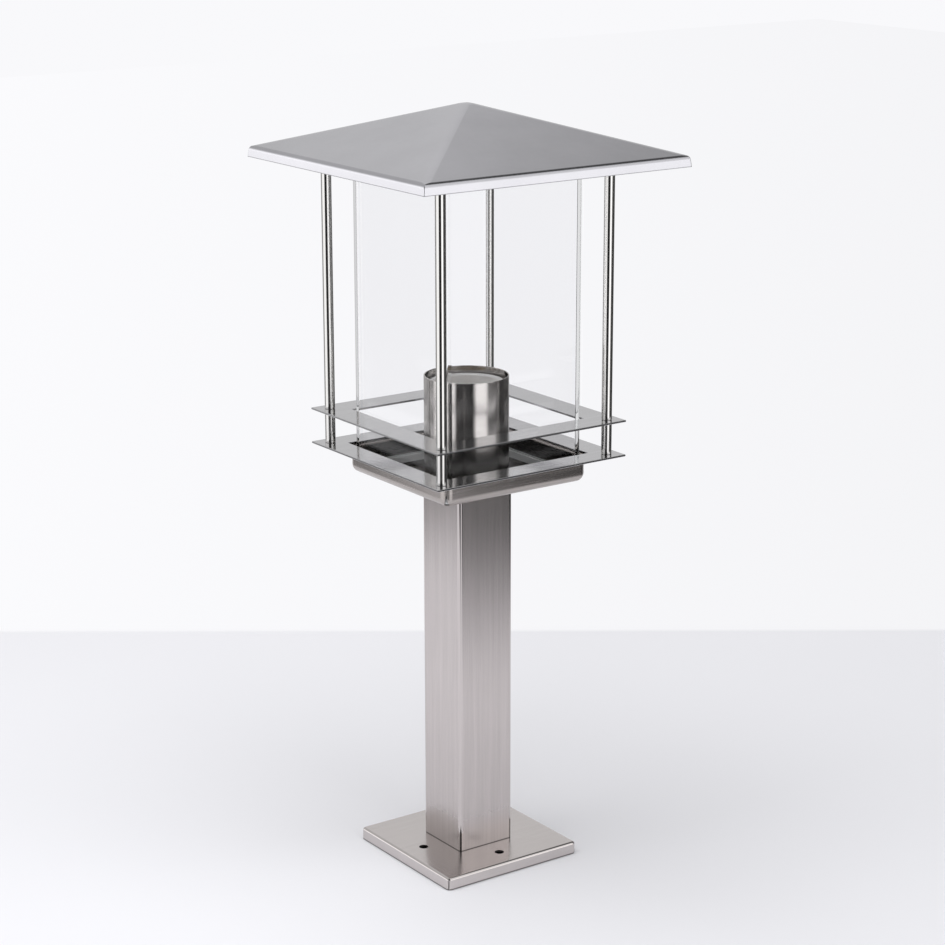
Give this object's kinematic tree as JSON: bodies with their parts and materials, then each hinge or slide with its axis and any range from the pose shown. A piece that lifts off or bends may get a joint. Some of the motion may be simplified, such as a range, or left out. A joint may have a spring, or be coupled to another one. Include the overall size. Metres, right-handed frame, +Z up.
{
  "type": "pedestal lantern",
  "caption": "Square stainless-steel electric pedestal lantern: pyramid roof on rods, glass box and porcelain lampholder over a tray on a square post with a base plate.",
  "frame": {"origin": "centre of the base plate's underside, on the ground", "axes": "+Z up the post; +X and +Y square to the sides of base, post, frames and roof"},
  "size_m": [0.18, 0.18, 0.45],
  "materials": {
    "satin_steel": "satin brushed sheet",
    "brushed_tube": "lengthwise brushed tube",
    "polished_sheet": "fine satin, half mirror",
    "bright_steel": "bright drawn steel",
    "zinc_screw": "plated",
    "clear_glass": "clear",
    "silicone": "matt",
    "porcelain": "glazed",
    "contact_brass": "bare",
    "block_plastic": "moulded",
    "wire_brown": "sheathed",
    "wire_blue": "sheathed",
    "wire_green": "sheathed"
  },
  "bodies": {
    "stand": {"base_plate": "satin_steel", "post": "brushed_tube", "post_cap": "satin_steel", "tray": "satin_steel", "tray_screws": "zinc_screw", "rod_screws": "zinc_screw", "holder_screws": "zinc_screw", "nipple": "zinc_screw", "nipple_nuts": "zinc_screw", "nipple_washer": "zinc_screw", "earth_screw": "zinc_screw", "terminal_screws": "zinc_screw", "holder_bracket": "zinc_screw", "terminal_bracket": "satin_steel", "glass_seat": "silicone", "lamp_sleeve": "bright_steel", "lampholder_body": "porcelain", "screw_shell": "contact_brass", "centre_contact": "contact_brass", "earth_tag": "contact_brass", "terminal_block": "block_plastic", "live_wire": "wire_brown", "neutral_wire": "wire_blue", "earth_wire": "wire_green"},
    "cage": {"lower_frame": "polished_sheet", "upper_frame": "polished_sheet", "rod_front_left": "bright_steel", "rod_front_right": "bright_steel", "rod_back_left": "bright_steel", "rod_back_right": "bright_steel", "spacer_front_left": "bright_steel", "spacer_front_right": "bright_steel", "spacer_back_left": "bright_steel", "spacer_back_right": "bright_steel", "roof": "satin_steel", "roof_pan": "satin_steel", "roof_nuts": "zinc_screw", "glass_top_seal": "silicone"},
    "glass": {"glass_shade": "clear_glass"}
  },
  "joints": [
    {"name": "cage_lift", "type": "slide", "parent": "stand", "child": "cage", "axis": [0, 0, 1], "range_m": [0, 0.36]},
    {"name": "glass_lift", "type": "slide", "parent": "stand", "child": "glass", "axis": [0, 0, 1], "range_m": [0, 0.18]}
  ],
  "couplings": [
    {"joint": "glass_lift", "follows": "cage_lift", "ratio": 0.5}
  ]
}
